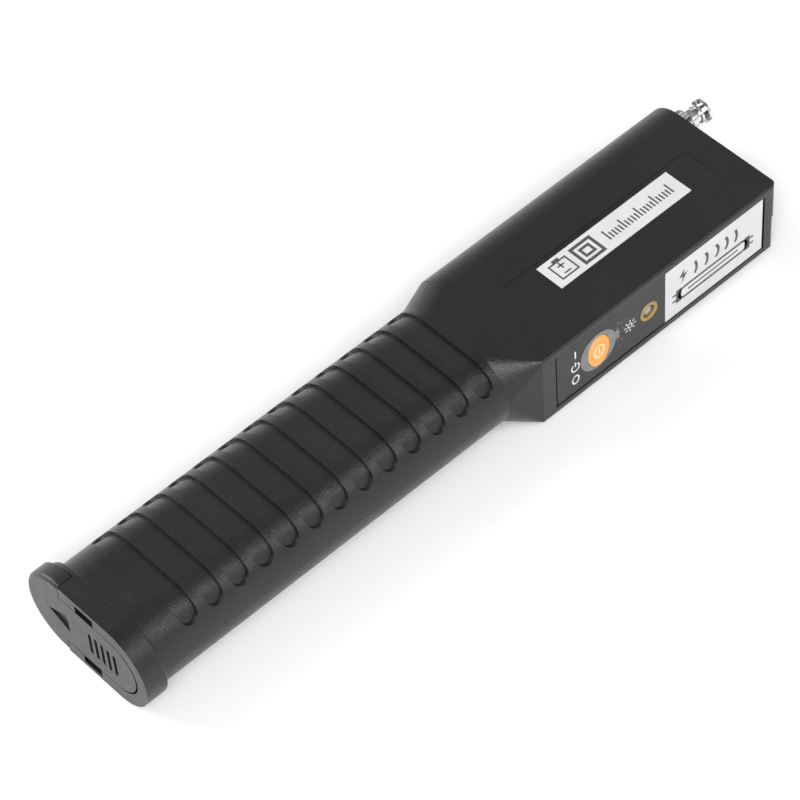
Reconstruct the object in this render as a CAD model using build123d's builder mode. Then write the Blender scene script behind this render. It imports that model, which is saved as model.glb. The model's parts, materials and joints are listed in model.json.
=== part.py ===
from build123d import *
import os
from math import radians, tan

# Hand-held lamp tube tester with a battery handle and a telescopic antenna. Lengths are in mm.
# +X runs from the battery end to the antenna, +Z out of the broad face, +Y to the rounded side.
# The origin is the middle of the battery end face. The shells meet at the plane z = 0.

os.makedirs("parts", exist_ok=True)

# Bought-in sizes that the housing is built around
cell_diameter = 14.5
cell_length = 50.5
cells_in_row = 2

# Battery cradle
cell_pitch = cell_diameter + 0.1
cradle_wall = 1.6
contact_thickness = 0.4
spring_room = 5.0
cradle_half_height = cell_diameter / 2 + 2.55
cradle_half_width = cell_pitch + cell_diameter / 2 - 0.25
cradle_gap = 0.8

# Housing section and walls
wall = 2.0
cell_side_gap = 0.25
door_gap = 0.3
door_half_height = cradle_half_height + 0.4
rail_step = 1.2
handle_half_height = door_half_height + rail_step + 3.0
handle_half_width = cell_pitch + cell_diameter / 2 + cell_side_gap + wall
collar_depth = 8.0
collar_half_height = handle_half_height + 0.9
collar_half_width = handle_half_width + 2.2
head_half_width = handle_half_width + 3.4
head_left_radius = 12.0
head_right_radius = 0.9
end_flat = 0.05

# Housing stations along X
plate_thickness = 2.0
rail_thickness = 1.2
door_thickness = plate_thickness + rail_thickness
cradle_start = door_thickness + cradle_gap
row_length = cells_in_row * cell_length
cradle_length = row_length + spring_room + 2 * (cradle_wall + contact_thickness) + 0.2
cradle_end = cradle_start + cradle_length
bulkhead_x = cradle_end + 3.8
bulkhead_thickness = 2.0
neck_x = bulkhead_x + 28.5
head_start = neck_x + 11.0
head_length = 102.5
housing_length = head_start + head_length
front_step = 0.5
front_left_radius = 4.0
front_right_radius = 2.0
front_wall = 2.6

# Grip ribs
rib_count = 13
rib_first = collar_depth + 17.9
rib_last = neck_x - 2.6
rib_width = 6.8
rib_depth = 0.9
rib_side_depth = 2.6
rib_floor_radius = handle_half_height - 3.4
rib_end_height = handle_half_height * 0.55

# Battery door
door_cap_y = 11.6
door_skirt_depth = 2.5
door_skirt = 1.65
door_proud = 1.8
door_end_gap = 0.7
door_left = collar_half_width + door_proud
notch_width = 8.0
notch_height = 3.2
slot_count = 5
slot_pitch = 2.78
slot_length = 9.6
slot_width = 1.25
slot_first = -12.2

# Side window, panel, button and lamp
window_start = head_start + 5.4
window_end = housing_length - 5.2
window_half_height = handle_half_height - 2.7
panel_recess = 0.5
film_thickness = 0.25
panel_gap = 0.15
panel_end_gap = 0.6
panel_thickness = wall - panel_recess + 0.1
panel_tab = 1.2
film_split = window_start + 47.7
button_x = window_start + 18.3
button_half_length = 6.5
button_half_width = 4.6
button_proud = 0.9
button_gap = 0.15
bezel_radius = 7.6
lamp_x = window_start + 40.4
lamp_ring_radius = 3.7
lamp_radius = 2.3

# Face label
label_start = head_start + 25.0
label_length = 56.8
label_right = -10.6
label_width = 11.2
label_recess_start = head_start + 12.0
label_recess_end = housing_length - 9.8
label_recess_depth = 0.15
label_thickness = 0.12

# Antenna
antenna_radius = 2.8
tube_wall = 0.3
tube_step = 0.5
tube_fit = 0.05
section_count = 5
antenna_inner_length = 74.0
antenna_mouth = housing_length + 13.5
nut_radius = 5.0
antenna_y = head_half_width - wall - nut_radius - 0.1
nut_length = 9.4
tip_radius = 4.2
tip_back_radius = 3.3
tip_waist_radius = 2.7

# Boards and fixings
board_thickness = 1.6
board_top = -handle_half_height + wall + 5.0
board_bottom = board_top - board_thickness
board_start = head_start + 9.0
board_end = housing_length - 13.0
board_right = -head_half_width + 5.5
board_left = antenna_y - antenna_radius - 2.0
control_face = -head_half_width + 6.9
boss_radius = 3.5
screw_head_radius = 2.8
screw_radius = 1.3
screw_places = [
    (bulkhead_x + 17.0, -handle_half_width + 7.0),
    (bulkhead_x + 17.0, handle_half_width - 7.0),
    (head_start + 4.0, -head_half_width + 9.0),
    (head_start + 4.0, head_half_width - 9.0),
    (housing_length - 7.5, -head_half_width + 11.5),
    (housing_length - 7.5, antenna_y - 11.4),
]
pin_places = [
    (board_start + 4.0, board_right + 4.0),
    (board_start + 4.0, board_left - 4.0),
    (board_end - 4.0, board_right + 4.0),
    (board_end - 4.0, board_left - 4.0),
]


def finish(node, name):
    """Label a finished piece and write it."""
    node.part.label = name
    export_step(node.part, f"parts/{name}.step")


def outline(right, left, half_height, right_radius, left_radius, mode=Mode.ADD):
    """Closed housing section in a Y-Z sketch: two flats, two sides and four quarter arcs."""
    rc = -right + right_radius
    lc = left - left_radius
    rz = half_height - right_radius
    lz = half_height - left_radius
    with BuildLine() as section:
        Line((rc, half_height), (lc, half_height))
        CenterArc((lc, lz), left_radius, 90, -90)
        Line((left, lz), (left, -lz))
        CenterArc((lc, -lz), left_radius, 0, -90)
        Line((lc, -half_height), (rc, -half_height))
        CenterArc((rc, -rz), right_radius, -90, -90)
        Line((-right, -rz), (-right, rz))
        CenterArc((rc, rz), right_radius, 180, -90)
    make_face(section.edges(), mode=mode)


def oval(half_width, half_height, mode=Mode.ADD):
    """Oval section with full round sides."""
    radius = half_height - end_flat
    outline(half_width, half_width, half_height, radius, radius, mode)


def head_section(inset=0.0):
    """Head section: square right side and rounded left side."""
    half_width = head_half_width - inset
    half_height = handle_half_height - inset
    outline(half_width, half_width, half_height, head_right_radius, head_left_radius - inset)


def end_slot(half_height, right, left):
    """Opening with a round right end and a straight left side, in a Y-Z sketch."""
    straight = left + right - half_height
    with Locations((left - straight / 2, 0)):
        Rectangle(straight, 2 * half_height)
    with Locations((half_height - right, 0)):
        Circle(half_height)


def left_block(start_y, height):
    """Rectangle that covers everything to the left of start_y, in a Y-Z sketch."""
    with Locations((start_y + collar_half_width, 0)):
        Rectangle(2 * collar_half_width, height)


def side_plane(y):
    """Plane parallel to the head's right side, with its normal along -Y."""
    return Plane.XZ.offset(-y)


def rib_cutter(front_x):
    """One grip recess: steep wall in front, floor that runs out at the back, round ends."""
    back_x = front_x - rib_width
    end_radius = rib_width / 2
    middle_x = (front_x + back_x) / 2
    end_z = rib_end_height + end_radius
    slope = rib_depth / rib_width
    floor_reach = handle_half_width - rib_side_depth
    with BuildPart() as cutter:
        with BuildSketch(Plane.XZ):
            for side in (1, -1):
                with Locations((middle_x, side * (end_z + handle_half_height / 2))):
                    Rectangle(rib_width, handle_half_height)
                with Locations((middle_x, side * end_z)):
                    Circle(end_radius)
        extrude(amount=handle_half_width + 3, both=True)
        with BuildSketch(Plane.YZ.offset(back_x - 1)):
            outline(floor_reach, floor_reach, handle_half_height + slope, rib_floor_radius, rib_floor_radius)
        with BuildSketch(Plane.YZ.offset(front_x + 1)):
            floor_height = handle_half_height - rib_depth - slope
            outline(floor_reach, floor_reach, floor_height, rib_floor_radius, rib_floor_radius)
        loft(ruled=True, mode=Mode.SUBTRACT)
    return cutter.part


def collar_blank():
    """Solid collar round the battery end, with an eased front edge."""
    with BuildPart() as collar:
        with BuildSketch(Plane.YZ):
            oval(collar_half_width, collar_half_height)
        extrude(amount=collar_depth)
        fillet(collar.edges().group_by(Axis.X)[-1], radius=0.7)
    return collar.part


def rounded_corners(front_x, offset):
    """Remove what lies outside the head's plan outline, whose two front corners are round."""
    for side, radius in ((1, front_left_radius), (-1, front_right_radius)):
        with BuildSketch(Plane.XY.offset(-handle_half_height - 1)) as corner:
            middle = (radius - offset) / 2
            with Locations((front_x - middle, side * (head_half_width - middle))):
                Rectangle(radius + offset, radius + offset)
            with Locations((front_x - radius, side * (head_half_width - radius))):
                Circle(radius, mode=Mode.SUBTRACT)
        extrude(corner.sketch, amount=2 * handle_half_height + 2, mode=Mode.SUBTRACT)


def outer_form():
    """Solid outside of the housing: ribbed handle, collar, shoulder and head."""
    ribs = [rib_first + (rib_last - rib_first) * k / (rib_count - 1) for k in range(rib_count)]
    with BuildPart() as form:
        with BuildSketch(Plane.YZ):
            oval(handle_half_width, handle_half_height)
        extrude(amount=neck_x)
        add([rib_cutter(front_x) for front_x in ribs], mode=Mode.SUBTRACT)
        add(collar_blank())
        with BuildSketch(Plane.YZ.offset(neck_x)):
            oval(handle_half_width, handle_half_height)
        with BuildSketch(Plane.YZ.offset(head_start)):
            head_section()
        loft(ruled=True)
        with BuildSketch(Plane.YZ.offset(head_start)):
            head_section()
        extrude(amount=head_length)
        rounded_corners(housing_length, 0)
    return form.part


def cavity(inset):
    """Solid that fills the housing to a given depth below its outer form."""
    cavity_start = door_thickness + groove_back
    with BuildPart() as hollow:
        with BuildSketch(Plane.YZ.offset(cavity_start)):
            oval(handle_half_width - inset, handle_half_height - inset)
        extrude(amount=neck_x - cavity_start)
        with BuildSketch(Plane.YZ.offset(neck_x)):
            oval(handle_half_width - inset, handle_half_height - inset)
        with BuildSketch(Plane.YZ.offset(head_start)):
            head_section(inset)
        loft(ruled=True)
        with BuildSketch(Plane.YZ.offset(head_start)):
            head_section(inset)
        extrude(amount=head_length - front_wall)
    return hollow.part


def inner_walls():
    """Bulkhead behind the batteries, seat for the antenna's outer tube, and screw bosses."""
    with BuildPart() as walls:
        with BuildSketch(Plane.YZ.offset(bulkhead_x)):
            oval(handle_half_width, handle_half_height)
            Rectangle(2 * bulkhead_passage, 2 * bulkhead_passage, mode=Mode.SUBTRACT)
            for side in (1, -1):
                with Locations((side * cell_pitch, contact_tail_z)):
                    Rectangle(contact_width + 0.3, contact_thickness + 0.3, mode=Mode.SUBTRACT)
        extrude(amount=bulkhead_thickness)
        with BuildSketch(Plane.YZ.offset(antenna_seat_x)):
            with Locations((antenna_y, 0)):
                Rectangle(2 * antenna_radius + 2, 2 * handle_half_height)
                Circle(antenna_radius + tube_fit, mode=Mode.SUBTRACT)
        extrude(amount=antenna_seat_length)
        with BuildSketch(Plane.XY.offset(-handle_half_height)):
            with Locations(screw_places):
                Circle(boss_radius)
        extrude(amount=2 * handle_half_height)
        add(cavity(wall / 2), mode=Mode.INTERSECT)
    return walls.part


def door_seat():
    """Space for the door: plate opening, rail grooves, notches, and the room that its skirt takes."""
    with BuildPart() as seat:
        with BuildSketch(Plane.YZ):
            end_slot(door_half_height + door_gap, opening_right, 2 * collar_half_width)
        extrude(amount=plate_thickness)
        with BuildSketch(Plane.YZ.offset(plate_thickness - door_gap / 2)):
            end_slot(groove_half_height, opening_right + rail_step, 2 * collar_half_width)
        extrude(amount=rail_thickness + door_gap)
        with BuildSketch(Plane.YZ.offset(door_thickness)):
            oval(opening_right, door_half_height + door_gap)
        extrude(amount=groove_back + 0.2)
        with BuildSketch(Plane.YZ):
            left_block(door_cap_y - door_gap, 3 * collar_half_height)
        extrude(amount=door_thickness + door_gap / 2)
        with BuildSketch(Plane.YZ):
            left_block(door_cap_y - door_gap, 3 * collar_half_height)
            oval(tongue_left, tongue_half_height, mode=Mode.SUBTRACT)
        extrude(amount=door_thickness + door_skirt_depth + door_gap)
        with BuildSketch(Plane.YZ):
            for side in (1, -1):
                with Locations((0, side * (door_half_height + door_gap + notch_height / 2))):
                    Rectangle(notch_width, notch_height)
        extrude(amount=door_thickness)
    return seat.part


def housing():
    """Both shells as one piece, with the side window and the hole for the antenna's bushing."""
    with BuildPart() as whole:
        add(outer_form())
        add(cavity(wall), mode=Mode.SUBTRACT)
        add(door_seat(), mode=Mode.SUBTRACT)
        with BuildSketch(side_plane(-head_half_width + wall + 1)):
            with Locations(((window_start + window_end) / 2, 0)):
                Rectangle(window_end - window_start, 2 * window_half_height)
        extrude(amount=wall + 2, mode=Mode.SUBTRACT)
        add(inner_walls())
        with BuildSketch(Plane.YZ.offset(housing_length - front_wall - 1)):
            with Locations((antenna_y, 0)):
                Circle(bushing_radius + tube_fit)
        extrude(amount=front_wall + 2, mode=Mode.SUBTRACT)
    return whole.part


# Sizes that several pieces share
screw_recess = 6.5
groove_back = 1.8
arrow_base = 9.0
arrow_tip = 18.0
arrow_half_height = 4.0
arrow_depth = 0.8
slot_depth = 0.9
door_rim_radius = 1.4
seat_depth = 1.0
switch_depth = 3.0
plunger_radius = 1.7
plunger_length = 1.6
plunger_tip = control_face - switch_depth - 0.4
lamp_base = control_face - 0.9
nose_length = 2.5
nut_edge = 0.8
knurl_count = 26
tag_thickness = 0.5
slip_ring = 3.0
mouth_lip = 1.5
contact_half_height = 4.5
return_width = 2.6
nub_length = 1.3
spring_pitch = 1.3
spring_wire = 0.7
spring_radius = 3.0
tail_length = 5.0
control_top = 9.0
header_pins = 7
sink_width = 18.0
fin_count = 5
core_height = 17.0
core_length = 28.0
core_window = 6.0
core_leg = 7.0
core_yoke = 3.5
core_depth = 8.0
flange_thickness = 0.8
wire_radius = 0.7
antenna_seat_length = 4.0
opening_right = cradle_half_width + 0.35
groove_half_height = door_half_height + rail_step + door_gap / 2
tongue_half_height = collar_half_height - door_skirt - door_gap / 2
tongue_left = door_left - door_skirt - door_gap / 2
bulkhead_passage = cell_pitch / 2
contact_width = 5.0
contact_tail_z = -2.0
antenna_seat_x = housing_length - antenna_inner_length + 6.0
bushing_radius = antenna_radius + 0.9

blank = housing()

with BuildPart() as upper_shell:
    add(blank)
    split(bisect_by=Plane.XY, keep=Keep.TOP)
    with BuildSketch(Plane.XY.offset(handle_half_height - label_recess_depth)):
        with Locations(((label_recess_start + label_recess_end) / 2, label_right + label_width / 2 + 0.8)):
            Rectangle(label_recess_end - label_recess_start, label_width + 2.2)
    extrude(amount=1, mode=Mode.SUBTRACT)
    with BuildSketch(Plane.XY):
        with Locations(screw_places):
            Circle(screw_radius + tube_fit)
    extrude(amount=8, mode=Mode.SUBTRACT)
finish(upper_shell, "upper_shell")

with BuildPart() as lower_shell:
    add(blank)
    split(bisect_by=Plane.XY, keep=Keep.BOTTOM)
    with BuildSketch(Plane.YZ.offset(housing_length - front_step)):
        Rectangle(3 * head_half_width, 3 * handle_half_height)
    extrude(amount=2 * front_step, mode=Mode.SUBTRACT)
    rounded_corners(housing_length - front_step, front_step)
    with BuildSketch(Plane.XY.offset(-handle_half_height - 1)):
        with Locations(screw_places):
            Circle(screw_head_radius + 0.2)
    extrude(amount=1 + screw_recess, mode=Mode.SUBTRACT)
    with BuildSketch(Plane.XY):
        with Locations(screw_places):
            Circle(screw_radius + 0.3)
    extrude(amount=-handle_half_height, mode=Mode.SUBTRACT)
    with BuildSketch(Plane.XY.offset(board_bottom)):
        with Locations(pin_places):
            Circle(2.4)
    extrude(amount=-(board_bottom + handle_half_height - wall / 2))
    with BuildSketch(Plane.XY.offset(board_bottom)):
        with Locations(pin_places):
            Circle(1.0)
    extrude(amount=board_thickness + 1.0)
finish(lower_shell, "lower_shell")

with BuildPart() as battery_door:
    with BuildSketch(Plane.YZ):
        end_slot(door_half_height, opening_right - door_end_gap, door_cap_y + 1)
    extrude(amount=plate_thickness)
    with BuildSketch(Plane.YZ.offset(plate_thickness)):
        end_slot(groove_half_height - door_gap, opening_right + rail_step - door_gap, door_cap_y + 1)
    extrude(amount=rail_thickness)
    with BuildSketch(Plane.YZ):
        oval(door_left, collar_half_height)
        with Locations((door_cap_y - 2 * collar_half_width, 0)):
            Rectangle(4 * collar_half_width, 3 * collar_half_height, mode=Mode.SUBTRACT)
    extrude(amount=door_thickness + door_skirt_depth)
    with BuildSketch(Plane.YZ.offset(door_thickness)):
        oval(door_left - door_skirt, collar_half_height - door_skirt)
    extrude(amount=door_skirt_depth + 1, mode=Mode.SUBTRACT)
    rim = battery_door.edges().group_by(Axis.X)[0].filter_by(lambda e: (e @ 0.5).Y > door_cap_y + 0.1)
    fillet(rim.filter_by(lambda e: abs((e @ 0.5).Z) > 1 or (e @ 0.5).Y > door_left - 1), radius=door_rim_radius)
    with BuildSketch(Plane.YZ):
        for slot in range(slot_count):
            with Locations((slot_first + slot * slot_pitch, 0)):
                SlotOverall(slot_length, slot_width, rotation=90)
    extrude(amount=slot_depth, mode=Mode.SUBTRACT)
    with BuildSketch(Plane.YZ):
        Polygon((arrow_base, -arrow_half_height), (arrow_base, arrow_half_height), (arrow_tip, 0), align=None)
    extrude(amount=arrow_depth, mode=Mode.SUBTRACT)
finish(battery_door, "battery_door")

# Side panel, its films, button and lamp
panel_face = -head_half_width + panel_recess
panel_back = panel_face + panel_thickness
film_face = panel_face - film_thickness
panel_middle = (window_start + window_end) / 2
panel_length = window_end - window_start - 2 * panel_end_gap
panel_height = 2 * (window_half_height - panel_gap)
inner_face = -head_half_width + wall

with BuildPart() as side_panel:
    with BuildSketch(side_plane(panel_back)):
        with Locations((panel_middle, 0)):
            Rectangle(panel_length, panel_height)
    extrude(amount=panel_thickness)
    with BuildSketch(side_plane(inner_face + 0.1 + panel_tab)):
        for end_x, side in ((window_start, 1), (window_end, -1)):
            with Locations((end_x + side * (2.2 - panel_tab) / 2, 0)):
                Rectangle(2.2 + panel_tab, panel_height - 2)
    extrude(amount=panel_tab)
    with BuildSketch(side_plane(panel_back)):
        with Locations((button_x, 0)):
            Ellipse(button_half_width + 0.5, button_half_length + 0.5)
        with Locations((lamp_x, 0)):
            Circle(lamp_radius + 0.1)
    extrude(amount=panel_thickness, mode=Mode.SUBTRACT)
    with BuildSketch(side_plane(panel_face)):
        with Locations((button_x, 0)):
            Circle(bezel_radius + 0.05)
        with Locations((lamp_x, 0)):
            Circle(lamp_ring_radius + 0.05)
    extrude(amount=-seat_depth, mode=Mode.SUBTRACT)
finish(side_panel, "side_panel")

with BuildPart() as panel_overlay:
    overlay_start = panel_middle - panel_length / 2 + 0.1
    with BuildSketch(side_plane(panel_face)):
        with Locations(((overlay_start + film_split - 0.05) / 2, 0)):
            Rectangle(film_split - 0.05 - overlay_start, panel_height - 0.2)
        with Locations((button_x, 0)):
            Circle(bezel_radius + 0.05, mode=Mode.SUBTRACT)
        with Locations((lamp_x, 0)):
            Circle(lamp_ring_radius + 0.05, mode=Mode.SUBTRACT)
    extrude(amount=film_thickness)
finish(panel_overlay, "panel_overlay")

with BuildPart() as panel_label:
    label_end = panel_middle + panel_length / 2 - 0.1
    with BuildSketch(side_plane(panel_face)):
        with Locations(((film_split + label_end) / 2, 0)):
            Rectangle(label_end - film_split, panel_height - 0.2)
    extrude(amount=film_thickness)
finish(panel_label, "panel_label")

with BuildPart() as button_bezel:
    with BuildSketch(side_plane(panel_face + seat_depth - 0.02)):
        with Locations((button_x, 0)):
            Circle(bezel_radius)
            Ellipse(button_half_width + button_gap, button_half_length + button_gap, mode=Mode.SUBTRACT)
    extrude(amount=seat_depth + film_thickness + 0.1)
finish(button_bezel, "button_bezel")

with BuildPart() as power_button:
    with BuildSketch(side_plane(panel_back + 0.1)):
        with Locations((button_x, 0)):
            Ellipse(button_half_width, button_half_length)
    extrude(amount=panel_thickness + button_proud)
    fillet(power_button.edges().group_by(Axis.Y)[0], radius=0.45)
    with BuildSketch(side_plane(panel_back + 0.1)):
        with Locations((button_x, 0)):
            Ellipse(button_half_width + 1.0, button_half_length + 1.0)
    extrude(amount=-0.8)
    with BuildSketch(side_plane(panel_back + 0.9)):
        with Locations((button_x, 0)):
            Circle(1.4)
    extrude(amount=-(plunger_tip - panel_back - 0.9 - 0.05))
finish(power_button, "power_button")

with BuildPart() as indicator_ring:
    with BuildSketch(side_plane(panel_face + seat_depth - 0.02)):
        with Locations((lamp_x, 0)):
            Circle(lamp_ring_radius)
            Circle(lamp_radius + 0.1, mode=Mode.SUBTRACT)
    extrude(amount=seat_depth + film_thickness + 0.25)
    fillet(indicator_ring.edges().group_by(Axis.Y)[0], radius=0.3)
finish(indicator_ring, "indicator_ring")

with BuildPart() as indicator_lens:
    with BuildSketch(side_plane(lamp_base)):
        with Locations((lamp_x, 0)):
            Circle(lamp_radius)
    extrude(amount=lamp_base - panel_face)
    fillet(indicator_lens.edges().group_by(Axis.Y)[0], radius=lamp_radius * 0.7)
    with BuildSketch(side_plane(lamp_base)):
        with Locations((lamp_x, 0)):
            Circle(lamp_radius + 0.5)
    extrude(amount=0.8)
finish(indicator_lens, "indicator_lens")

with BuildPart() as indicator_leads:
    with BuildSketch(side_plane(control_face)):
        with Locations((lamp_x - 1.27, 0), (lamp_x + 1.27, 0)):
            Circle(0.3)
    extrude(amount=control_face - lamp_base)
finish(indicator_leads, "indicator_leads")

with BuildPart() as switch_body:
    with BuildSketch(side_plane(control_face)):
        with Locations((button_x, 0)):
            Rectangle(6, 6)
    extrude(amount=switch_depth)
    with BuildSketch(side_plane(control_face - switch_depth)):
        with Locations((button_x, 0)):
            Circle(plunger_radius + 0.1)
    extrude(amount=-(switch_depth - 0.6), mode=Mode.SUBTRACT)
finish(switch_body, "switch_body")

with BuildPart() as switch_plunger:
    with BuildSketch(side_plane(plunger_tip)):
        with Locations((button_x, 0)):
            Circle(plunger_radius)
    extrude(amount=-plunger_length)
finish(switch_plunger, "switch_plunger")

with BuildPart() as face_label:
    with BuildSketch(Plane.XY.offset(handle_half_height - label_recess_depth)):
        with Locations((label_start + label_length / 2, label_right + label_width / 2)):
            Rectangle(label_length, label_width)
    extrude(amount=label_thickness)
finish(face_label, "face_label")

# Telescopic antenna: nut, bushing, solder tag, nested sections and tip


def on_antenna(x):
    """Plane across the antenna at station x, with its origin on the antenna's axis."""
    return Plane(origin=(x, antenna_y, 0), x_dir=(0, 1, 0), z_dir=(1, 0, 0))


def disc(x, radius, length, mode=Mode.ADD):
    """Cylinder round the antenna's axis, from station x forwards."""
    with BuildSketch(on_antenna(x)) as face:
        Circle(radius)
    extrude(face.sketch, amount=length, mode=mode)


inner_front = housing_length - front_wall
nut_start = housing_length + 0.1
nose_end = nut_start + nut_length + nose_length
flange_start = inner_front - 3.0
tag_start = flange_start - tag_thickness - 0.05

with BuildPart() as antenna_nut:
    disc(nut_start, nut_radius - 0.4, nut_length)
    with BuildSketch(on_antenna(nut_start + nut_edge)):
        Circle(nut_radius)
        with PolarLocations(nut_radius + 0.1, knurl_count):
            Circle(nut_radius * 0.075, mode=Mode.SUBTRACT)
    extrude(amount=nut_length - 2 * nut_edge)
    chamfer(antenna_nut.edges().group_by(Axis.X)[-1], length=0.4)
    disc(nut_start, bushing_radius + tube_fit, nut_length, Mode.SUBTRACT)
finish(antenna_nut, "antenna_nut")

with BuildPart() as antenna_bushing:
    disc(flange_start, nut_radius - 0.2, inner_front - flange_start - 0.05)
    disc(flange_start, bushing_radius, nose_end - nose_length - flange_start)
    disc(flange_start, bushing_radius - 0.35, nose_end - flange_start)
    chamfer(antenna_bushing.edges().group_by(Axis.X)[-1], length=0.3)
    disc(flange_start, antenna_radius + tube_fit, nose_end - flange_start, Mode.SUBTRACT)
finish(antenna_bushing, "antenna_bushing")

with BuildPart() as antenna_tag:
    with BuildSketch(on_antenna(tag_start)):
        Circle(nut_radius - 0.6)
        with Locations((0, -nut_radius)):
            Rectangle(2.4, 7.0)
        Circle(antenna_radius + tube_fit, mode=Mode.SUBTRACT)
    extrude(amount=tag_thickness)
finish(antenna_tag, "antenna_tag")

last_section = section_count - 1
for section in range(section_count):
    section_radius = antenna_radius - section * tube_step
    section_start = housing_length - antenna_inner_length + section * 1.5
    section_length = antenna_mouth - section_start
    name = "antenna_rod" if section == last_section else f"antenna_section_{section + 1}"
    with BuildPart() as tube:
        disc(section_start, section_radius, section_length)
        if section > 0:
            disc(section_start, section_radius + tube_step - tube_wall - tube_fit, slip_ring)
        if section < last_section:
            disc(section_start, section_radius - tube_wall, section_length - mouth_lip, Mode.SUBTRACT)
            disc(section_start, section_radius - tube_step + tube_fit, section_length, Mode.SUBTRACT)
    finish(tube, name)

with BuildPart() as antenna_tip:
    disc(antenna_mouth + 0.1, tip_back_radius, 1.0)
    fillet(antenna_tip.edges().group_by(Axis.X)[0], radius=0.25)
    disc(antenna_mouth + 1.0, tip_waist_radius, 1.6)
    disc(antenna_mouth + 2.5, tip_radius, 1.3)
    fillet(antenna_tip.edges().group_by(Axis.X)[-1], radius=0.35)
    disc(antenna_mouth, antenna_radius - last_section * tube_step + 0.02, 0.1)
finish(antenna_tip, "antenna_tip")

# Battery cradle, cells and contacts

strip_door = cradle_start + cradle_wall
strip_inner = cradle_end - cradle_wall - contact_thickness
rows_y = [-cell_pitch, 0, cell_pitch]
floor_top = -cell_diameter / 2 - 0.75
floor_bottom = -cradle_half_height + 0.2
divider_top = -contact_half_height - 0.1
floor_half_width = cell_pitch + 0.4
return_y = cell_pitch - 2.4
terminal_size = 4.0

with BuildPart() as battery_cradle:
    with BuildSketch(Plane.YZ.offset(cradle_start)):
        oval(cradle_half_width, cradle_half_height)
    extrude(amount=cradle_wall)
    with BuildSketch(Plane.YZ.offset(cradle_end - cradle_wall)):
        oval(cradle_half_width, cradle_half_height)
        with Locations((-cell_pitch, 0)):
            Rectangle(terminal_size + 0.2, terminal_size + 0.2, mode=Mode.SUBTRACT)
        with Locations((return_y, floor_top + contact_thickness / 2 + 0.1)):
            Rectangle(return_width + 0.2, contact_thickness + 0.2, mode=Mode.SUBTRACT)
    extrude(amount=cradle_wall)
    with BuildSketch(Plane.YZ.offset(cradle_start)):
        with Locations((0, (floor_top + floor_bottom) / 2)):
            Rectangle(2 * floor_half_width, floor_top - floor_bottom)
        for side in (1, -1):
            with Locations((side * cell_pitch / 2, (floor_bottom + divider_top) / 2)):
                Rectangle(1.4, divider_top - floor_bottom)
    extrude(amount=cradle_length)
finish(battery_cradle, "battery_cradle")

cell_number = 0
for row, row_y in enumerate(rows_y):
    forward = row != 1
    row_start = strip_door + contact_thickness + (spring_room if forward else 0.1)
    for place in range(cells_in_row):
        cell_number += 1
        can_length = cell_length - nub_length
        can_start = row_start + place * cell_length + (0 if forward else nub_length)
        nub_start = can_start + can_length if forward else can_start - nub_length
        with BuildPart() as cell:
            with BuildSketch(Plane.YZ.offset(can_start)):
                with Locations((row_y, 0)):
                    Circle(cell_diameter / 2)
            extrude(amount=can_length)
            fillet(cell.edges(), radius=0.5)
            with BuildSketch(Plane.YZ.offset(nub_start)):
                with Locations((row_y, 0)):
                    Circle(2.75)
            extrude(amount=nub_length)
        finish(cell, f"battery_cell_{cell_number}")
    spring_start = strip_door + contact_thickness if forward else row_start + row_length
    with BuildPart() as spring:
        with BuildLine() as coil:
            Helix(
                pitch=spring_pitch,
                height=spring_room - spring_wire - 0.3,
                radius=spring_radius,
                center=(spring_start + spring_wire / 2 + 0.1, row_y, 0),
                direction=(1, 0, 0),
            )
        with BuildSketch(Plane(origin=coil.line @ 0, z_dir=coil.line % 0)):
            Circle(spring_wire / 2)
        sweep(is_frenet=True)
    finish(spring, f"battery_spring_{row + 1}")

with BuildPart() as bridge_door_side:
    with BuildSketch(Plane.YZ.offset(strip_door)):
        with Locations((-cell_pitch / 2, 0)):
            Rectangle(cell_pitch + 8, 2 * contact_half_height)
    extrude(amount=contact_thickness)
finish(bridge_door_side, "bridge_door_side")

with BuildPart() as bridge_inner_side:
    with BuildSketch(Plane.YZ.offset(strip_inner)):
        with Locations((cell_pitch / 2, 0)):
            Rectangle(cell_pitch + 8, 2 * contact_half_height)
    extrude(amount=contact_thickness)
finish(bridge_inner_side, "bridge_inner_side")

with BuildPart() as terminal_positive:
    with BuildSketch(Plane.YZ.offset(strip_inner)):
        with Locations((-cell_pitch, 0)):
            Rectangle(8, 2 * contact_half_height)
    extrude(amount=contact_thickness)
    with BuildSketch(Plane.YZ.offset(strip_inner)):
        with Locations((-cell_pitch, 0)):
            Rectangle(terminal_size, terminal_size)
    extrude(amount=cradle_wall + contact_thickness)
finish(terminal_positive, "terminal_positive")

with BuildPart() as terminal_negative:
    strip_z = floor_top + contact_thickness / 2 + 0.05
    with BuildSketch(Plane.YZ.offset(strip_door)):
        with Locations((cell_pitch, 0)):
            Rectangle(8, 2 * contact_half_height)
        with Locations((return_y, strip_z / 2 - contact_thickness / 4)):
            Rectangle(return_width, -strip_z + contact_thickness / 2)
    extrude(amount=contact_thickness)
    with BuildSketch(Plane.YZ.offset(strip_door)):
        with Locations((return_y, strip_z)):
            Rectangle(return_width, contact_thickness)
    extrude(amount=cradle_end - strip_door + contact_thickness + 0.05)
    with BuildSketch(Plane.YZ.offset(cradle_end + 0.05)):
        with Locations((return_y, (strip_z + 3) / 2)):
            Rectangle(return_width, 3 - strip_z + contact_thickness)
        with Locations((cell_pitch - 0.6, 0)):
            Rectangle(terminal_size + 2, terminal_size + 2)
    extrude(amount=contact_thickness)
finish(terminal_negative, "terminal_negative")


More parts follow.
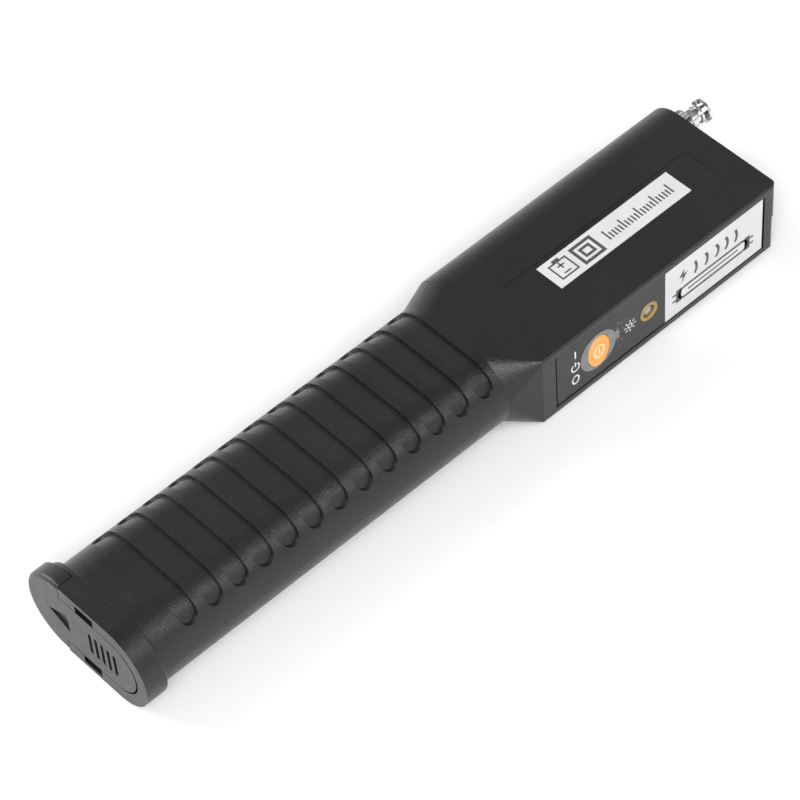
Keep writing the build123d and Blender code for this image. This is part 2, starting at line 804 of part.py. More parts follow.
def supply_contact(y, leaf_x):
    """Spring leaf on the bulkhead with a tail that passes through it."""
    plate_x = bulkhead_x - 0.05 - contact_thickness
    with BuildPart() as leaf:
        with BuildSketch(Plane.XZ.offset(-y)):
            with Locations((plate_x + contact_thickness / 2, 0.5)):
                Rectangle(contact_thickness, 8)
            with Locations(((plate_x + bulkhead_x + tail_length) / 2, contact_tail_z)):
                Rectangle(bulkhead_x + tail_length - plate_x, contact_thickness)
            Polygon(
                (plate_x, 4.5),
                (plate_x + contact_thickness, 4.5),
                (leaf_x + contact_thickness, 0),
                (leaf_x, 0),
                align=None,
            )
        extrude(amount=contact_width / 2, both=True)
    return leaf


finish(supply_contact(-cell_pitch, cradle_end + 0.1), "supply_contact_positive")
finish(supply_contact(cell_pitch, cradle_end + contact_thickness + 0.15), "supply_contact_negative")

# Boards and what they carry

with BuildPart() as main_board:
    with BuildSketch(Plane.XY.offset(board_bottom + 0.05)):
        with Locations(((board_start + board_end) / 2, (board_left + board_right) / 2)):
            RectangleRounded(board_end - board_start, board_left - board_right, 1.0)
        with Locations(pin_places):
            Circle(1.1, mode=Mode.SUBTRACT)
    extrude(amount=board_thickness - 0.05)
finish(main_board, "main_board")

with BuildPart() as control_board:
    with BuildSketch(side_plane(control_face + board_thickness)):
        with Locations(((button_x + lamp_x) / 2, (board_top + control_top) / 2)):
            Rectangle(lamp_x - button_x + 16, control_top - board_top - 0.1)
    extrude(amount=board_thickness - 0.02)
finish(control_board, "control_board")

with BuildPart() as board_header:
    with BuildSketch(Plane.XY.offset(board_top)):
        with Locations(((button_x + lamp_x) / 2, control_face + board_thickness + 1.35)):
            Rectangle(header_pins * 2.54, 2.5)
    extrude(amount=2.5)
    chamfer(board_header.edges().filter_by(Axis.Z), length=0.4)
    with BuildSketch(Plane.XY.offset(board_top + 2.5)):
        with Locations(((button_x + lamp_x) / 2, control_face + board_thickness + 1.35)):
            with GridLocations(2.54, 2.54, header_pins, 1):
                Rectangle(0.6, 0.6)
    extrude(amount=3)
finish(board_header, "board_header")

sink_x = board_start + 12.5
sink_y = control_face + board_thickness + 9.0
sink_top = handle_half_height - wall - 3.0

with BuildPart() as heat_sink:
    with BuildSketch(Plane.XY.offset(board_top + 0.1)):
        with Locations((sink_x + sink_width / 2, sink_y + 1)):
            Rectangle(sink_width, 2)
        for fin in range(fin_count):
            fin_x = sink_x + 0.75 + fin * (sink_width - 1.5) / (fin_count - 1)
            with Locations((fin_x, sink_y + 5)):
                Rectangle(1.5, 10)
    extrude(amount=sink_top - board_top)
finish(heat_sink, "heat_sink")

with BuildPart() as power_transistor:
    transistor_x = sink_x + sink_width / 2
    with BuildSketch(Plane.XY.offset(board_top + 4)):
        with Locations((transistor_x, sink_y - 2.35)):
            Rectangle(10, 4.5)
    extrude(amount=8)
    with BuildSketch(Plane.XY.offset(board_top + 4)):
        with Locations((transistor_x, sink_y - 0.75)):
            Rectangle(10, 1.3)
    extrude(amount=sink_top - board_top - 4)
    with BuildSketch(Plane.XY.offset(board_top + 0.02)):
        with Locations((transistor_x, sink_y - 2.5)):
            with GridLocations(2.54, 1, 3, 1):
                Rectangle(0.8, 0.5)
    extrude(amount=4.2)
finish(power_transistor, "power_transistor")

capacitor_x = sink_x + sink_width + 8

with BuildPart() as storage_capacitors:
    with BuildSketch(Plane.XY.offset(board_top + 0.02)):
        with Locations((capacitor_x, -9), (capacitor_x, 1)):
            Circle(4)
    extrude(amount=11)
    fillet(storage_capacitors.edges().group_by(Axis.Z)[-1], radius=0.6)
    with BuildSketch(Plane.XY.offset(board_top + 1.5)):
        with Locations((capacitor_x, -9), (capacitor_x, 1)):
            Circle(4.5)
            Circle(3.7, mode=Mode.SUBTRACT)
    extrude(amount=0.7, mode=Mode.SUBTRACT)
finish(storage_capacitors, "storage_capacitors")

with BuildPart() as film_capacitor:
    with BuildSketch(Plane.XY.offset(board_top + 0.02)):
        with Locations((capacitor_x, 10)):
            Rectangle(12, 5)
    extrude(amount=9)
    fillet(film_capacitor.edges(), radius=0.5)
finish(film_capacitor, "film_capacitor")

with BuildPart() as resistors:
    for number in range(4):
        resistor_y = sink_y + 13.5 + number * 3
        with BuildSketch(Plane.YZ.offset(transistor_x - 3.2)):
            with Locations((resistor_y, board_top + 2)):
                Circle(1.1)
        extrude(amount=6.4)
        with BuildSketch(Plane.YZ.offset(transistor_x - 5.5)):
            with Locations((resistor_y, board_top + 2)):
                Circle(0.3)
        extrude(amount=11)
        with BuildSketch(Plane.XY.offset(board_top + 0.02)):
            with Locations((transistor_x - 5.2, resistor_y), (transistor_x + 5.2, resistor_y)):
                Circle(0.3)
        extrude(amount=2)
finish(resistors, "resistors")

core_x = capacitor_x + 20
core_y = -3.0
core_bottom = board_top + 0.05

with BuildPart() as transformer_core:
    with BuildSketch(Plane.XZ.offset(-core_y)):
        with Locations((core_x, core_bottom + core_height / 2)):
            Rectangle(core_length, core_height)
            with GridLocations(core_window + core_leg, 1, 2, 1):
                Rectangle(core_window, core_height - 2 * core_yoke, mode=Mode.SUBTRACT)
    extrude(amount=core_depth / 2, both=True)
finish(transformer_core, "transformer_core")

with BuildPart() as transformer_bobbin:
    bobbin_bottom = core_bottom + core_yoke + 0.1
    bobbin_height = core_height - 2 * core_yoke - 0.2
    with BuildSketch(Plane.XY.offset(bobbin_bottom)):
        with Locations((core_x, core_y)):
            RectangleRounded(core_leg + 2.2, core_depth + 2.2, 0.8)
    extrude(amount=bobbin_height)
    with BuildSketch(Plane.XY.offset(bobbin_bottom)):
        with Locations((core_x, core_y)):
            RectangleRounded(core_leg + 2 * core_window - 0.3, core_depth + 2 * core_window - 0.3, 1.5)
    extrude(amount=flange_thickness)
    with BuildSketch(Plane.XY.offset(bobbin_bottom + bobbin_height - flange_thickness)):
        with Locations((core_x, core_y)):
            RectangleRounded(core_leg + 2 * core_window - 0.3, core_depth + 2 * core_window - 0.3, 1.5)
    extrude(amount=flange_thickness)
    with BuildSketch(Plane.XY.offset(bobbin_bottom)):
        with Locations((core_x, core_y)):
            Rectangle(core_leg + 0.2, core_depth + 0.2)
    extrude(amount=bobbin_height, mode=Mode.SUBTRACT)
finish(transformer_bobbin, "transformer_bobbin")

with BuildPart() as transformer_winding:
    with BuildSketch(Plane.XY.offset(bobbin_bottom + flange_thickness + 0.05)):
        with Locations((core_x, core_y)):
            RectangleRounded(core_leg + 2 * core_window - 1.6, core_depth + 2 * core_window - 1.6, 2.5)
            RectangleRounded(core_leg + 2.3, core_depth + 2.3, 0.85, mode=Mode.SUBTRACT)
    extrude(amount=bobbin_height - 2 * flange_thickness - 0.1)
finish(transformer_winding, "transformer_winding")

with BuildPart() as disc_capacitors:
    disc_x = board_end - 3.9
    for number in range(3):
        disc_y = -11.0 + number * 8
        with BuildSketch(Plane.XZ.offset(-disc_y)):
            with Locations((disc_x, board_top + 6.2)):
                Circle(3.8)
        extrude(amount=1.4, both=True)
        with BuildSketch(Plane.XY.offset(board_top + 0.02)):
            with Locations((disc_x - 2, disc_y), (disc_x + 2, disc_y)):
                Circle(0.3)
        extrude(amount=4)
finish(disc_capacitors, "disc_capacitors")

with BuildPart() as case_screws:
    head_top = -handle_half_height + screw_recess - 0.02
    with BuildSketch(Plane.XY.offset(head_top - 2.0)):
        with Locations(screw_places):
            Circle(screw_head_radius)
    extrude(amount=2.0)
    with BuildSketch(Plane.XY.offset(head_top - 2.0)):
        with Locations(screw_places):
            Rectangle(3.2, 0.7)
            Rectangle(0.7, 3.2)
    extrude(amount=1.0, mode=Mode.SUBTRACT)
    with BuildSketch(Plane.XY.offset(head_top)):
        with Locations(screw_places):
            Circle(screw_radius)
    extrude(amount=7.0 - head_top)
finish(case_screws, "case_screws")

# Internal wires, each held between two soldered ends


def bend_radii(points):
    """Largest tangent arc at each inner point, from its shorter run and its turn."""
    radii = []
    for before, here, after in zip(points, points[1:], points[2:]):
        run_in = Vector(*here) - Vector(*before)
        run_out = Vector(*after) - Vector(*here)
        half_turn = radians(run_in.get_angle(run_out) / 2)
        radii.append(0.45 * min(run_in.length, run_out.length) / tan(half_turn))
    return radii


def wire(points, name):
    """Insulated wire along a route of straight runs and tangent arcs."""
    with BuildPart() as lead:
        with BuildLine() as route:
            FilletPolyline(*points, radius=bend_radii(points))
        with BuildSketch(Plane(origin=route.line @ 0, z_dir=route.line % 0)):
            Circle(wire_radius)
        sweep()
    finish(lead, name)


tail_end = bulkhead_x + tail_length + 0.05
pad_z = board_top + wire_radius + 0.1
for side, polarity in ((-1, "positive"), (1, "negative")):
    wire(
        [
            (tail_end, side * cell_pitch, contact_tail_z),
            (tail_end + 6, side * (cell_pitch - 0.4), contact_tail_z),
            (neck_x - 5, side * (cell_pitch - 8), contact_tail_z - 1),
            (head_start - 1, side * (cell_pitch - 9.5), pad_z + 1.5),
            (board_start + 5, side * (cell_pitch - 9.2), pad_z),
        ],
        f"wire_{polarity}",
    )

wire(
    [
        (board_end - 10, board_left - 1.6, pad_z),
        (board_end - 4.5, board_left - 1.5, pad_z),
        (board_end + 1.5, antenna_y - 2.6, pad_z),
        (tag_start - 0.45, antenna_y, -nut_radius - 2),
    ],
    "antenna_lead",
)
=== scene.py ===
import bpy
import bmesh
import json
import math
from mathutils import Euler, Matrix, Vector


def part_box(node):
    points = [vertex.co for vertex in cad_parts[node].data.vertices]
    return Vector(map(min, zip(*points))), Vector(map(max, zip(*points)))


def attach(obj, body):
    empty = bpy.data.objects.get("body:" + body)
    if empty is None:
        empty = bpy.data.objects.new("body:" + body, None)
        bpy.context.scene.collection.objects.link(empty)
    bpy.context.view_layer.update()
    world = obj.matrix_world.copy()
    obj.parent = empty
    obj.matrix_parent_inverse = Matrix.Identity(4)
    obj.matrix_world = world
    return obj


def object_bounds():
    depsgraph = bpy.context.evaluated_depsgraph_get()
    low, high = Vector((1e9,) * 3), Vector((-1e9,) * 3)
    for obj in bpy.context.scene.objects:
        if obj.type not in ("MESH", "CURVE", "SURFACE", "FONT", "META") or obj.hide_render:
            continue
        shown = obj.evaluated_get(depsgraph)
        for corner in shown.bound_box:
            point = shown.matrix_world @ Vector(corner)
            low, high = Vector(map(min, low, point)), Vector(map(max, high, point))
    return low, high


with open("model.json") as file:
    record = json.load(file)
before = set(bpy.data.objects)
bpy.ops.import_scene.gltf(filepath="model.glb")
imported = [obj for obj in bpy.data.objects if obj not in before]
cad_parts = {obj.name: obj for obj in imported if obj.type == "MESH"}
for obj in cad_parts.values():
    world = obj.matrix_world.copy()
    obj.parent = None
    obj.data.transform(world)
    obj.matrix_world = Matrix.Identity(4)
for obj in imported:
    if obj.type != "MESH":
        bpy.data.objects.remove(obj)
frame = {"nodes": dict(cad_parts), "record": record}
cad_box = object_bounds()
nodes = frame["nodes"]
MM = 0.001

# Camera at the photograph's viewing angle

camera_data = bpy.data.cameras.new("camera")
camera_place = (-0.3145, -0.5342, 0.8378)
camera_turn = (39.506, 3.049, -43.058)
camera_data.lens = 161.1
camera_data.clip_start = 0.05
camera_data.clip_end = 20
camera = bpy.data.objects.new("camera", camera_data)
camera.location = camera_place
camera.rotation_euler = Euler([math.radians(a) for a in camera_turn])
bpy.context.scene.collection.objects.link(camera)
bpy.context.scene.camera = camera
bpy.context.scene.view_settings.view_transform = "Standard"


# Materials. All patterns are laid in the object's own coordinates, in metres.


class Paint:
    """A procedural material under construction."""

    def __init__(self, name):
        self.material = bpy.data.materials.new(name)
        self.material.use_nodes = True
        self.tree = self.material.node_tree
        self.shader = self.tree.nodes["Principled BSDF"]
        self.place = self.node("ShaderNodeTexCoord").outputs["Object"]

    def node(self, kind, **values):
        made = self.tree.nodes.new(kind)
        for key, value in values.items():
            setattr(made, key, value)
        return made

    def link(self, source, target):
        self.tree.links.new(source, target)

    def set(self, **values):
        for key, value in values.items():
            self.shader.inputs[key.replace("_", " ")].default_value = value

    def stretched(self, scale, turn=(0, 0, 0)):
        """The place, turned and scaled by a different amount along each axis."""
        mapping = self.node("ShaderNodeMapping")
        self.link(self.place, mapping.inputs["Vector"])
        mapping.inputs["Scale"].default_value = scale
        mapping.inputs["Rotation"].default_value = turn
        return mapping.outputs["Vector"]

    def noise(self, scale, detail=3.0, rough=0.55, place=None):
        made = self.node("ShaderNodeTexNoise")
        self.link(place or self.place, made.inputs["Vector"])
        made.inputs["Scale"].default_value = scale
        made.inputs["Detail"].default_value = detail
        made.inputs["Roughness"].default_value = rough
        return made.outputs["Fac"]

    def cells(self, scale):
        made = self.node("ShaderNodeTexVoronoi")
        self.link(self.place, made.inputs["Vector"])
        made.inputs["Scale"].default_value = scale
        return made.outputs["Distance"]

    def spread(self, value, low, high, new_low, new_high):
        made = self.node("ShaderNodeMapRange")
        self.link(value, made.inputs["Value"])
        for key, number in (("From Min", low), ("From Max", high), ("To Min", new_low), ("To Max", new_high)):
            made.inputs[key].default_value = number
        return made.outputs["Result"]

    def colours(self, value, *stops):
        made = self.node("ShaderNodeValToRGB")
        self.link(value, made.inputs["Fac"])
        ramp = made.color_ramp
        while len(ramp.elements) < len(stops):
            ramp.elements.new(0.5)
        for element, (position, colour) in zip(ramp.elements, stops):
            element.position = position
            element.color = (*colour, 1)
        return made.outputs["Color"]

    def blend(self, amount, first, second):
        """Colour between first and second."""
        made = self.node("ShaderNodeMix", data_type="RGBA")
        self.link(amount, made.inputs["Factor"])
        for value, socket in ((first, made.inputs["A"]), (second, made.inputs["B"])):
            if isinstance(value, tuple):
                socket.default_value = (*value, 1)
            else:
                self.link(value, socket)
        return made.outputs["Result"]

    def combine(self, operation, first, second):
        made = self.node("ShaderNodeMath", operation=operation)
        for value, socket in zip((first, second), made.inputs):
            if isinstance(value, (int, float)):
                socket.default_value = value
            else:
                self.link(value, socket)
        return made.outputs["Value"]

    def bump(self, *layers):
        """Stack of (height, distance in metres) layers."""
        normal = None
        for height, distance in layers:
            made = self.node("ShaderNodeBump")
            made.inputs["Strength"].default_value = 1.0
            made.inputs["Distance"].default_value = distance
            self.link(height, made.inputs["Height"])
            if normal:
                self.link(normal, made.inputs["Normal"])
            normal = made.outputs["Normal"]
        self.link(normal, self.shader.inputs["Normal"])

    def base(self, colour):
        self.link(colour, self.shader.inputs["Base Color"])

    def roughness(self, value):
        self.link(value, self.shader.inputs["Roughness"])


def moulded(name, dark, light, grain=1800, depth=0.00013, rough=(0.27, 0.40)):
    """Moulded plastic: fine spark-eroded grain, slow waviness, faint scuffs and dust."""
    paint = Paint(name)
    slow = paint.noise(35, 2)
    fine = paint.noise(grain, 2, 0.6)
    broad = paint.noise(260, 4, 0.6)
    scuff = paint.noise(900, 2, 0.5, paint.stretched((0.12, 1.0, 1.0), (0.0, 0.0, 0.6)))
    dust = paint.cells(420)
    tone = paint.blend(paint.spread(slow, 0.3, 0.7, 0, 1), dark, light)
    worn = paint.spread(paint.combine("MULTIPLY", scuff, broad), 0.40, 0.50, 0.0, 0.35)
    tone = paint.blend(worn, tone, tuple(min(1, 2.2 * c + 0.004) for c in light))
    specks = paint.spread(dust, 0.035, 0.05, 0.5, 0.0)
    tone = paint.blend(specks, tone, (0.16, 0.16, 0.16))
    paint.base(tone)
    paint.roughness(paint.spread(paint.combine("ADD", broad, fine), 0.7, 1.3, *rough))
    paint.bump((slow, 0.00006), (fine, depth))
    return paint.material


def chromed(name, colour, rough=0.04):
    """Bright plating with hairline marks and a little dulling, with dark streaks along X painted into the
    colour as a painted reflection of dark surroundings.
    """
    paint = Paint(name)
    lines = paint.noise(2600, 2, 0.6, paint.stretched((1.0, 0.15, 0.15)))
    film = paint.noise(300, 3)
    # Dark streaks running along X, painted into the base colour: painted reflection of dark surroundings.
    painted_reflection_streak = paint.noise(420, 1, 0.5, paint.stretched((0.0, 1.0, 1.0)))
    paint.base(paint.blend(paint.spread(painted_reflection_streak, 0.48, 0.60, 0, 1), colour, tuple(c * 0.25 for c in colour)))
    paint.roughness(paint.spread(paint.combine("ADD", lines, film), 0.7, 1.3, rough, rough + 0.14))
    paint.set(Metallic=1.0)
    paint.bump((lines, 0.000003))
    return paint.material


def plain(name, dark, light, scale=400, rough=(0.4, 0.55), depth=0.00001, metallic=0.0):
    """Two-tone material with a matching bump, for small and inner pieces."""
    paint = Paint(name)
    value = paint.noise(scale, 4, 0.6)
    fine = paint.noise(scale * 6, 2)
    paint.base(paint.blend(paint.spread(value, 0.3, 0.7, 0, 1), dark, light))
    paint.roughness(paint.spread(fine, 0.3, 0.7, *rough))
    paint.set(Metallic=metallic)
    paint.bump((fine, depth))
    return paint.material


black = moulded("moulded_black", (0.006, 0.006, 0.0062), (0.010, 0.010, 0.0103))
overlay = moulded("overlay_film", (0.011, 0.011, 0.012), (0.016, 0.016, 0.017), 1500, 0.000008, (0.38, 0.46))
white = plain("label_film", (0.55, 0.555, 0.56), (0.60, 0.605, 0.61), 90, (0.35, 0.45), 0.000006)
orange = plain("button_orange", (0.72, 0.29, 0.05), (0.80, 0.36, 0.075), 300, (0.28, 0.38))
grey = plain("bezel_grey", (0.14, 0.145, 0.15), (0.20, 0.205, 0.21), 500, (0.4, 0.55))
lens = plain("lamp_lens", (0.24, 0.24, 0.24), (0.32, 0.32, 0.32), 700, (0.35, 0.5))
gold = plain("lamp_ring_gold", (0.30, 0.20, 0.06), (0.40, 0.28, 0.09), 900, (0.3, 0.45), metallic=0.4)
chrome = chromed("chrome_plate", (0.80, 0.80, 0.81))
brass = chromed("brass_strip", (0.62, 0.46, 0.18), 0.25)
spring_steel = chromed("plated_strip", (0.56, 0.56, 0.57), 0.22)
screw_black = plain(
    "screw_black_zinc", (0.03, 0.03, 0.035), (0.07, 0.07, 0.075), 900, (0.25, 0.4), metallic=0.9,
)
board = plain("board_laminate", (0.012, 0.075, 0.03), (0.02, 0.11, 0.045), 250, (0.25, 0.4))
compound = plain("moulding_compound", (0.012, 0.012, 0.013), (0.02, 0.02, 0.021), 1200, (0.5, 0.65))
ferrite = plain("ferrite", (0.035, 0.035, 0.037), (0.06, 0.06, 0.062), 1500, (0.55, 0.7), 0.00002)
bobbin = plain("bobbin_plastic", (0.48, 0.42, 0.26), (0.56, 0.50, 0.33), 300)
winding = plain("winding_tape", (0.62, 0.36, 0.02), (0.74, 0.46, 0.04), 160, (0.2, 0.35))
aluminium = plain(
    "extruded_aluminium", (0.42, 0.43, 0.44), (0.52, 0.53, 0.54), 1400, (0.35, 0.5), metallic=0.95,
)
sleeve = plain("capacitor_sleeve", (0.012, 0.018, 0.06), (0.02, 0.03, 0.09), 500, (0.25, 0.35))
red_case = plain("film_capacitor_red", (0.32, 0.02, 0.012), (0.42, 0.03, 0.018), 500, (0.2, 0.3))
blue_disc = plain("disc_glaze", (0.03, 0.10, 0.28), (0.05, 0.15, 0.36), 800, (0.2, 0.35), 0.00002)
resistor = plain("resistor_lacquer", (0.45, 0.32, 0.16), (0.55, 0.42, 0.24), 900, (0.3, 0.4))
cradle = moulded("cradle_plastic", (0.02, 0.02, 0.02), (0.028, 0.028, 0.028))
cell = plain("cell_print", (0.03, 0.06, 0.20), (0.05, 0.09, 0.28), 120, (0.2, 0.3))
wire_red = plain("wire_red", (0.42, 0.015, 0.012), (0.5, 0.03, 0.02), 600, (0.35, 0.5))
wire_black = plain("wire_black", (0.012, 0.012, 0.012), (0.02, 0.02, 0.02), 600, (0.35, 0.5))
wire_white = plain("wire_white", (0.55, 0.55, 0.50), (0.65, 0.65, 0.6), 600, (0.35, 0.5))
ink_dark = plain("ink_dark", (0.05, 0.05, 0.055), (0.075, 0.075, 0.08), 2200, (0.45, 0.6))
ink_white = plain("ink_white", (0.58, 0.58, 0.58), (0.7, 0.7, 0.7), 2200, (0.45, 0.6))
ink_peach = plain("ink_peach", (0.86, 0.62, 0.36), (0.9, 0.68, 0.42), 2200, (0.4, 0.5))

by_slot = {
    "black_plastic": black, "dark_film": overlay, "white_film": white, "orange_plastic": orange,
    "grey_plastic": grey, "lamp_clear": lens, "gold_ring": gold, "chrome": chrome, "brass": brass,
    "plated_steel": spring_steel, "screw_steel": screw_black, "board_green": board,
    "black_part": compound, "ferrite": ferrite, "bobbin_plastic": bobbin, "winding_tape": winding,
    "heat_sink_aluminium": aluminium, "capacitor_sleeve": sleeve, "film_capacitor_case": red_case,
    "disc_ceramic": blue_disc, "resistor_body": resistor, "cradle_plastic": cradle,
    "cell_sleeve": cell, "wire_red": wire_red, "wire_black": wire_black, "wire_white": wire_white,
}
for part in frame["record"]["subparts"]:
    node = nodes[part["node"]]
    node.data.materials.clear()
    node.data.materials.append(by_slot[part["material_slot"]])


# Printed marks: thin raised ink, drawn as plain pictograms on the films. Sizes are in mm.

ink_height = 0.02


def on_side(face_y, start_u):
    """Places (along X from start_u, up Z) on a face that looks along -Y."""
    return lambda u, v, w: ((start_u + u) * MM, face_y - w * MM, v * MM)


def on_top(face_z, start_u, start_v):
    """Places (along X and Y from a starting point) on a face that looks up."""
    return lambda u, v, w: ((start_u + u) * MM, (start_v + v) * MM, face_z + w * MM)


def ring_points(u, v, radius_u, radius_v, count=40, start=0.0, turn=2 * math.pi):
    """Points round an ellipse, or along a part of it."""
    steps = count if turn >= 2 * math.pi else count - 1
    angles = [start + turn * k / steps for k in range(count)]
    return [(u + radius_u * math.cos(a), v + radius_v * math.sin(a)) for a in angles]


def capsule_points(u0, u1, v, radius, count=12):
    """Outline with round ends along u."""
    right = ring_points(u1, v, radius, radius, count, -math.pi / 2, math.pi)
    left = ring_points(u0, v, radius, radius, count, math.pi / 2, math.pi)
    return right + left


def box_points(u0, u1, v0, v1):
    """Corners of a rectangle."""
    return [(u0, v0), (u1, v0), (u1, v1), (u0, v1)]


def filled(points):
    """A solid patch of ink."""
    return ("patch", points)


def line(points, width, closed=False):
    """A stroke of ink of even width."""
    edge = []
    count = len(points)
    for k, here in enumerate(points):
        before = points[k - 1] if closed or k else None
        after = points[(k + 1) % count] if closed or k < count - 1 else None
        runs = [
            (Vector(b) - Vector(a)).normalized()
            for a, b in ((before, here), (here, after)) if a is not None and b is not None
        ]
        along = sum(runs, Vector((0, 0))).normalized()
        across = Vector((-along.y, along.x))
        stretch = 1 / max(0.5, across.dot(Vector((-runs[0].y, runs[0].x))))
        offset = across * stretch * width / 2
        edge.append((Vector(here) + offset, Vector(here) - offset))
    return ("stroke", edge, closed)


def ink(name, shapes, place, material, body, height=ink_height):
    """One piece made of closed ink patches and strokes."""
    mesh = bmesh.new()
    for shape in shapes:
        if shape[0] == "patch":
            low, high = ([mesh.verts.new(place(*p, w)) for p in shape[1]] for w in (0.0, height))
            mesh.faces.new(high)
            mesh.faces.new(list(reversed(low)))
            for k in range(len(low)):
                j = (k + 1) % len(low)
                mesh.faces.new((low[k], low[j], high[j], high[k]))
            continue
        corners = [
            [mesh.verts.new(place(*p, w)) for p in pair for w in (0.0, height)] for pair in shape[1]
        ]
        count = len(corners)
        for k in range(count if shape[2] else count - 1):
            one, two = corners[k], corners[(k + 1) % count]
            for i, j in ((0, 1), (1, 3), (3, 2), (2, 0)):
                mesh.faces.new((one[i], one[j], two[j], two[i]))
        if not shape[2]:
            for end in (corners[0], corners[-1]):
                mesh.faces.new((end[0], end[1], end[3], end[2]))
    bmesh.ops.recalc_face_normals(mesh, faces=mesh.faces)
    data = bpy.data.meshes.new(name)
    mesh.to_mesh(data)
    mesh.free()
    data.materials.append(material)
    piece = bpy.data.objects.new(name, data)
    bpy.context.scene.collection.objects.link(piece)
    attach(piece, body)
    return piece


# On the dark side film: power symbols, a worn patch by the bezel, and the lamp's symbol

film_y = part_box("panel_overlay")[0].y
button_low, button_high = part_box("power_button")
lamp_low, lamp_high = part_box("indicator_ring")
button_u = (button_low.x + button_high.x) / 2 / MM
lamp_u = (lamp_low.x + lamp_high.x) / 2 / MM

stroke = 0.55
ring_gap = math.radians(32)
ink("standby_mark", [
    line(ring_points(0, 0, 1.6, 1.6, 30, math.pi / 2 + ring_gap, 2 * math.pi - 2 * ring_gap), stroke),
    line([(0, 0.4), (0, 2.4)], stroke),
    line([(0, 4.2), (0, 7.4)], 0.6),
    line(ring_points(0, -5.7, 1.35, 1.7, 28), stroke, True),
], on_side(film_y, button_u - 9.7), ink_white, "housing")

patch_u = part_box("button_bezel")[1].x / MM + 0.6
patch_v = 0.6
patch_tall = 2.1
patch_count = 24
flecks = [
    (1.9, 4.4, 0.28), (0.4, 5.6, 0.35), (2.6, 1.6, 0.22),
    (2.2, -3.4, 0.3), (0.9, -5.4, 0.24), (3.2, 5.2, 0.2),
]


def patch_outline():
    """Ragged outline where the film is worn, taller than wide."""
    for k in range(patch_count):
        angle = 2 * math.pi * k / patch_count
        reach = 1.15 + 0.42 * math.sin(2.7 * k) + 0.3 * math.sin(5.1 * k + 1)
        yield reach * math.cos(angle), patch_v + patch_tall * reach * math.sin(angle)


ink("worn_patch", [filled(list(patch_outline()))] + [
    filled(ring_points(u, v, size, 1.2 * size, 8)) for u, v, size in flecks
], on_side(film_y, patch_u), grey, "housing")

ray_count = 8
ray_start, ray_end = 1.6, 2.6
ray_width = 0.42
rays = []
for k in range(ray_count):
    angle = 2 * math.pi * k / ray_count
    rays.append(line([(r * math.cos(angle), r * math.sin(angle)) for r in (ray_start, ray_end)], ray_width))
ink("lamp_mark", [line(ring_points(0, 0, 0.9, 0.9, 24), ray_width, True)] + rays,
    on_side(film_y, lamp_u - 8.2), ink_white, "housing")

ink("button_mark", [
    line(ring_points(0, 0, 2.0, 2.6, 36), 0.6, True),
    line([(0, -1.3), (0, 1.3)], 0.6),
], on_side(button_low.y, button_u), ink_peach, "button")

# On the white side label: a lamp tube with its end caps and pins, and waves with a spark

label_low, label_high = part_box("panel_label")
tube_start = label_low.x / MM + 3.6
tube_length = label_high.x / MM - 4.4 - tube_start
tube_v = -3.6
cap_low, cap_high = tube_v - 2.9, tube_v + 2.9
pin_offset = 1.3
tube = [
    line(capsule_points(4.9, tube_length - 4.9, tube_v, 2.3), 1.0, True),
    line([(6.6, tube_v), (tube_length - 6.6, tube_v)], 0.7),
]
for end, inward in ((0, 1), (tube_length, -1)):
    cap_outside = end + 1.2 * inward
    cap_inside = end + 3.6 * inward
    tube.append(filled(box_points(cap_outside, cap_inside, cap_low, cap_high)))
    for pin_v in (tube_v - pin_offset, tube_v + pin_offset):
        tube.append(line([(end - 0.4 * inward, pin_v), (cap_outside, pin_v)], 0.8))
side_label = on_side(label_low.y, tube_start)
ink("tube_mark", tube, side_label, ink_dark, "housing")

wave_count = 5
wave_margin = 6.5
wave_v = 4.0
wave_pitch = (tube_length - 2 * wave_margin) / wave_count
waves = []
for k in range(wave_count):
    wave_u = wave_margin + wave_pitch * (k + 0.5)
    wave_reach = 1.5 + 0.4 * (2 - abs(k - 2))
    waves.append(line(ring_points(wave_u, wave_v, wave_reach, 3.0, 14, -1.1, 2.2), 1.1))
spark = filled([(2.5, 4.2), (4.9, 7.2), (4.5, 4.9), (6.3, 5.2), (3.5, 0.9), (4.2, 3.8)])
ink("field_mark", waves + [spark], side_label, ink_dark, "housing")

# On the sticker of the broad face: a battery, a double square and a scale

face_low, face_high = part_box("face_label")
sticker = on_top(face_high.z, face_low.x / MM, (face_low.y + face_high.y) / 2 / MM)
ink("battery_mark", [
    line(box_points(3.0, 9.8, -3.2, 3.2), 0.6, True),
    filled(box_points(5.0, 7.8, 3.4, 4.5)),
    line([(5.0, 1.4), (7.8, 1.4)], stroke),
    line([(6.4, 0), (6.4, 2.8)], stroke),
    line([(5.0, -1.8), (7.8, -1.8)], stroke),
], sticker, ink_dark, "housing")
ink("insulation_mark", [
    line(box_points(12.6, 20.6, -3.6, 3.6), 1.15, True),
    line(box_points(14.8, 18.4, -1.6, 1.6), 1.0, True),
], sticker, ink_dark, "housing")

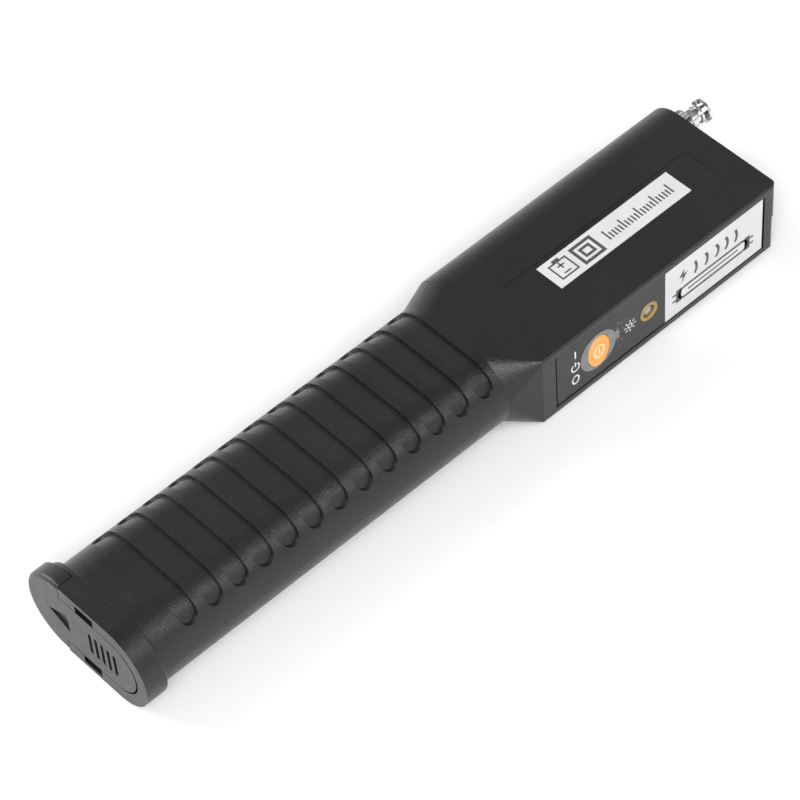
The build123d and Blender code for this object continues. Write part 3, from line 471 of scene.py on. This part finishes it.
tick_count = 21
tick_pitch = 1.38
tick_width = 0.62
ticks = []
for k in range(tick_count):
    tick_u = 24.6 + tick_pitch * k
    tick_top = 2.3 if k % 5 == 0 else 0.5
    ticks.append(filled(box_points(tick_u, tick_u + tick_width, -2.2, tick_top)))
ink("scale_mark", ticks, sticker, ink_dark, "housing")

# Soft light, floor and surroundings


def area(name, location, target, size, power):
    """Square soft light aimed at a target."""
    data = bpy.data.lights.new(name, "AREA")
    data.shape = "SQUARE"
    data.size = size
    data.energy = power
    lamp = bpy.data.objects.new(name, data)
    lamp.location = location
    aim = Vector(target) - Vector(location)
    lamp.rotation_euler = aim.to_track_quat("-Z", "Y").to_euler()
    bpy.context.scene.collection.objects.link(lamp)


middle = (0.13, 0, 0)
area("key_light", (-0.8, -1.2, 1.5), middle, 1.4, 40)
area("back_light", (-0.5, 1.5, 0.9), middle, 1.2, 26)
area("bend_light", (0.95, -1.2, 1.35), middle, 0.5, 7)

world = bpy.data.worlds.new("studio")
bpy.context.scene.world = world
world.use_nodes = True
sky = world.node_tree
sky.nodes["Background"].inputs["Color"].default_value = (1, 1, 1, 1)
height = sky.nodes.new("ShaderNodeSeparateXYZ")
sky.links.new(sky.nodes.new("ShaderNodeTexCoord").outputs["Generated"], height.inputs["Vector"])
fade = sky.nodes.new("ShaderNodeMapRange")
sky.links.new(height.outputs["Z"], fade.inputs["Value"])
for key, number in (("From Min", 0.05), ("From Max", 0.75), ("To Min", 0.95), ("To Max", 0.34)):
    fade.inputs[key].default_value = number
sky.links.new(fade.outputs["Result"], sky.nodes["Background"].inputs["Strength"])

lowest = cad_box[0].z
floor_reach = 6.0
corners = [(x * floor_reach, y * floor_reach, lowest) for x, y in ((-1, -1), (1, -1), (1, 1), (-1, 1))]
floor_mesh = bpy.data.meshes.new("floor")
floor_mesh.from_pydata(corners, [], [(0, 1, 2, 3)])
floor = bpy.data.objects.new("floor", floor_mesh)
floor_paint = Paint("floor_pale")
floor_paint.set(Base_Color=(0.9, 0.9, 0.9, 1), Roughness=0.9, Specular_IOR_Level=0.1)
floor_mesh.materials.append(floor_paint.material)
bpy.context.scene.collection.objects.link(floor)
